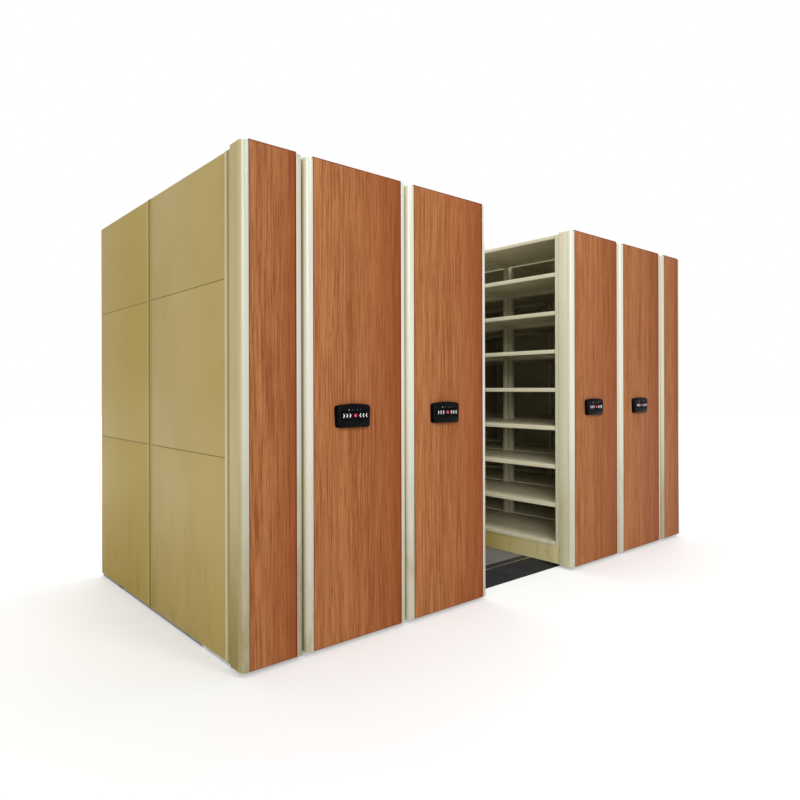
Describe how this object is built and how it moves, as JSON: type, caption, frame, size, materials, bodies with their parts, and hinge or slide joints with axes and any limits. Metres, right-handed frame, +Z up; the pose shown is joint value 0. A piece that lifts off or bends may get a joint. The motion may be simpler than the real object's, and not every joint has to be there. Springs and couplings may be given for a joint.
{
  "type": "compact mobile shelving",
  "caption": "Row of steel shelving ranges on floor tracks with laminate end panels; powered carriages close up or open an aisle.",
  "frame": {"origin": "on the floor under the middle of the whole row, bottom centre of the bounding box", "axes": "+X along the row from left to right as seen from the front, +Y from the end panels to the back, +Z up"},
  "size_m": [4.258, 2.1586, 2.46],
  "materials": {
    "wood_laminate": "satin reddish-brown vertical grain laminate",
    "casing_paint": "satin cream powder coat",
    "side_panel_paint": "satin tan powder coat",
    "shelving_paint": "satin cream powder coat",
    "chassis_paint": "satin tan powder coat",
    "pad_plastic": "black moulded plastic",
    "key_plastic": "black key with white arrows",
    "stop_plastic": "red domed button",
    "axle_steel": "machined steel",
    "gearmotor_paint": "grey paint",
    "ramp_rubber": "matt black ribbed rubber",
    "track_steel": "worn steel",
    "deck_vinyl": "grey sheet flooring"
  },
  "bodies": {
    "root": {"fixed_left_casing": "casing_paint", "fixed_left_end_panel": "wood_laminate", "fixed_left_shelving": "shelving_paint", "fixed_left_side_panel_front_low": "side_panel_paint", "fixed_left_side_panel_front_middle": "side_panel_paint", "fixed_left_side_panel_front_top": "side_panel_paint", "fixed_left_side_panel_rear_low": "side_panel_paint", "fixed_left_side_panel_rear_middle": "side_panel_paint", "fixed_left_side_panel_rear_top": "side_panel_paint", "fixed_right_casing": "casing_paint", "fixed_right_end_panel": "wood_laminate", "fixed_right_shelving": "shelving_paint", "floor_deck": "deck_vinyl", "floor_ramp": "ramp_rubber", "floor_track_front": "track_steel", "floor_track_rear": "track_steel"},
    "carriage_1": {"carriage_1_casing": "casing_paint", "carriage_1_chassis": "chassis_paint", "carriage_1_control_pad": "pad_plastic", "carriage_1_end_panel": "wood_laminate", "carriage_1_gearmotor": "gearmotor_paint", "carriage_1_shelving": "shelving_paint"},
    "carriage_1_drive_axle": {"carriage_1_drive_axle": "axle_steel"},
    "carriage_1_idler_axle": {"carriage_1_idler_axle": "axle_steel"},
    "carriage_1_left_key": {"carriage_1_left_key": "key_plastic"},
    "carriage_1_stop_button": {"carriage_1_stop_button": "stop_plastic"},
    "carriage_1_right_key": {"carriage_1_right_key": "key_plastic"},
    "carriage_2": {"carriage_2_casing": "casing_paint", "carriage_2_chassis": "chassis_paint", "carriage_2_control_pad": "pad_plastic", "carriage_2_end_panel": "wood_laminate", "carriage_2_gearmotor": "gearmotor_paint", "carriage_2_shelving": "shelving_paint"},
    "carriage_2_drive_axle": {"carriage_2_drive_axle": "axle_steel"},
    "carriage_2_idler_axle": {"carriage_2_idler_axle": "axle_steel"},
    "carriage_2_left_key": {"carriage_2_left_key": "key_plastic"},
    "carriage_2_stop_button": {"carriage_2_stop_button": "stop_plastic"},
    "carriage_2_right_key": {"carriage_2_right_key": "key_plastic"},
    "carriage_3": {"carriage_3_casing": "casing_paint", "carriage_3_chassis": "chassis_paint", "carriage_3_control_pad": "pad_plastic", "carriage_3_end_panel": "wood_laminate", "carriage_3_gearmotor": "gearmotor_paint", "carriage_3_shelving": "shelving_paint"},
    "carriage_3_drive_axle": {"carriage_3_drive_axle": "axle_steel"},
    "carriage_3_idler_axle": {"carriage_3_idler_axle": "axle_steel"},
    "carriage_3_left_key": {"carriage_3_left_key": "key_plastic"},
    "carriage_3_stop_button": {"carriage_3_stop_button": "stop_plastic"},
    "carriage_3_right_key": {"carriage_3_right_key": "key_plastic"},
    "carriage_4": {"carriage_4_casing": "casing_paint", "carriage_4_chassis": "chassis_paint", "carriage_4_control_pad": "pad_plastic", "carriage_4_end_panel": "wood_laminate", "carriage_4_gearmotor": "gearmotor_paint", "carriage_4_shelving": "shelving_paint"},
    "carriage_4_drive_axle": {"carriage_4_drive_axle": "axle_steel"},
    "carriage_4_idler_axle": {"carriage_4_idler_axle": "axle_steel"},
    "carriage_4_left_key": {"carriage_4_left_key": "key_plastic"},
    "carriage_4_stop_button": {"carriage_4_stop_button": "stop_plastic"},
    "carriage_4_right_key": {"carriage_4_right_key": "key_plastic"}
  },
  "joints": [
    {"name": "carriage_1_slide", "type": "slide", "parent": "root", "child": "carriage_1", "axis": [1, 0, 0], "range_m": [0, 0.449]},
    {"name": "carriage_1_drive_axle_spin", "type": "hinge", "parent": "carriage_1", "child": "carriage_1_drive_axle", "pos_m": [-1.664, -0.625, 0.0743], "axis": [0, 1, 0], "range_deg": [0, 467.8]},
    {"name": "carriage_1_idler_axle_spin", "type": "hinge", "parent": "carriage_1", "child": "carriage_1_idler_axle", "pos_m": [-1.244, -0.625, 0.0743], "axis": [0, 1, 0], "range_deg": [0, 467.8]},
    {"name": "carriage_1_left_key_press", "type": "slide", "parent": "carriage_1", "child": "carriage_1_left_key", "axis": [0, 1, 0], "range_m": [0, 0.0015], "stiffness_N_per_m": 900, "springref_m": -0.001},
    {"name": "carriage_1_stop_button_press", "type": "slide", "parent": "carriage_1", "child": "carriage_1_stop_button", "axis": [0, 1, 0], "range_m": [0, 0.0015], "stiffness_N_per_m": 900, "springref_m": -0.001},
    {"name": "carriage_1_right_key_press", "type": "slide", "parent": "carriage_1", "child": "carriage_1_right_key", "axis": [0, 1, 0], "range_m": [0, 0.0015], "stiffness_N_per_m": 900, "springref_m": -0.001},
    {"name": "carriage_2_slide", "type": "slide", "parent": "root", "child": "carriage_2", "axis": [1, 0, 0], "range_m": [0, 0.449]},
    {"name": "carriage_2_drive_axle_spin", "type": "hinge", "parent": "carriage_2", "child": "carriage_2_drive_axle", "pos_m": [-0.994, -0.625, 0.0743], "axis": [0, 1, 0], "range_deg": [0, 467.8]},
    {"name": "carriage_2_idler_axle_spin", "type": "hinge", "parent": "carriage_2", "child": "carriage_2_idler_axle", "pos_m": [-0.574, -0.625, 0.0743], "axis": [0, 1, 0], "range_deg": [0, 467.8]},
    {"name": "carriage_2_left_key_press", "type": "slide", "parent": "carriage_2", "child": "carriage_2_left_key", "axis": [0, 1, 0], "range_m": [0, 0.0015], "stiffness_N_per_m": 900, "springref_m": -0.001},
    {"name": "carriage_2_stop_button_press", "type": "slide", "parent": "carriage_2", "child": "carriage_2_stop_button", "axis": [0, 1, 0], "range_m": [0, 0.0015], "stiffness_N_per_m": 900, "springref_m": -0.001},
    {"name": "carriage_2_right_key_press", "type": "slide", "parent": "carriage_2", "child": "carriage_2_right_key", "axis": [0, 1, 0], "range_m": [0, 0.0015], "stiffness_N_per_m": 900, "springref_m": -0.001},
    {"name": "carriage_3_slide", "type": "slide", "parent": "root", "child": "carriage_3", "axis": [1, 0, 0], "range_m": [-0.449, 0]},
    {"name": "carriage_3_drive_axle_spin", "type": "hinge", "parent": "carriage_3", "child": "carriage_3_drive_axle", "pos_m": [0.574, -0.625, 0.0743], "axis": [0, 1, 0], "range_deg": [-467.8, 0]},
    {"name": "carriage_3_idler_axle_spin", "type": "hinge", "parent": "carriage_3", "child": "carriage_3_idler_axle", "pos_m": [0.994, -0.625, 0.0743], "axis": [0, 1, 0], "range_deg": [-467.8, 0]},
    {"name": "carriage_3_left_key_press", "type": "slide", "parent": "carriage_3", "child": "carriage_3_left_key", "axis": [0, 1, 0], "range_m": [0, 0.0015], "stiffness_N_per_m": 900, "springref_m": -0.001},
    {"name": "carriage_3_stop_button_press", "type": "slide", "parent": "carriage_3", "child": "carriage_3_stop_button", "axis": [0, 1, 0], "range_m": [0, 0.0015], "stiffness_N_per_m": 900, "springref_m": -0.001},
    {"name": "carriage_3_right_key_press", "type": "slide", "parent": "carriage_3", "child": "carriage_3_right_key", "axis": [0, 1, 0], "range_m": [0, 0.0015], "stiffness_N_per_m": 900, "springref_m": -0.001},
    {"name": "carriage_4_slide", "type": "slide", "parent": "root", "child": "carriage_4", "axis": [1, 0, 0], "range_m": [-0.449, 0]},
    {"name": "carriage_4_drive_axle_spin", "type": "hinge", "parent": "carriage_4", "child": "carriage_4_drive_axle", "pos_m": [1.244, -0.625, 0.0743], "axis": [0, 1, 0], "range_deg": [-467.8, 0]},
    {"name": "carriage_4_idler_axle_spin", "type": "hinge", "parent": "carriage_4", "child": "carriage_4_idler_axle", "pos_m": [1.664, -0.625, 0.0743], "axis": [0, 1, 0], "range_deg": [-467.8, 0]},
    {"name": "carriage_4_left_key_press", "type": "slide", "parent": "carriage_4", "child": "carriage_4_left_key", "axis": [0, 1, 0], "range_m": [0, 0.0015], "stiffness_N_per_m": 900, "springref_m": -0.001},
    {"name": "carriage_4_stop_button_press", "type": "slide", "parent": "carriage_4", "child": "carriage_4_stop_button", "axis": [0, 1, 0], "range_m": [0, 0.0015], "stiffness_N_per_m": 900, "springref_m": -0.001},
    {"name": "carriage_4_right_key_press", "type": "slide", "parent": "carriage_4", "child": "carriage_4_right_key", "axis": [0, 1, 0], "range_m": [0, 0.0015], "stiffness_N_per_m": 900, "springref_m": -0.001}
  ],
  "couplings": [
    {"joint": "carriage_1_slide", "follows": "carriage_2_slide", "ratio": 1},
    {"joint": "carriage_1_drive_axle_spin", "follows": "carriage_2_slide", "rad_per_m": 18.182},
    {"joint": "carriage_1_idler_axle_spin", "follows": "carriage_2_slide", "rad_per_m": 18.182},
    {"joint": "carriage_2_drive_axle_spin", "follows": "carriage_2_slide", "rad_per_m": 18.182},
    {"joint": "carriage_2_idler_axle_spin", "follows": "carriage_2_slide", "rad_per_m": 18.182},
    {"joint": "carriage_3_drive_axle_spin", "follows": "carriage_3_slide", "rad_per_m": 18.182},
    {"joint": "carriage_3_idler_axle_spin", "follows": "carriage_3_slide", "rad_per_m": 18.182},
    {"joint": "carriage_4_slide", "follows": "carriage_3_slide", "ratio": 1},
    {"joint": "carriage_4_drive_axle_spin", "follows": "carriage_3_slide", "rad_per_m": 18.182},
    {"joint": "carriage_4_idler_axle_spin", "follows": "carriage_3_slide", "rad_per_m": 18.182}
  ]
}
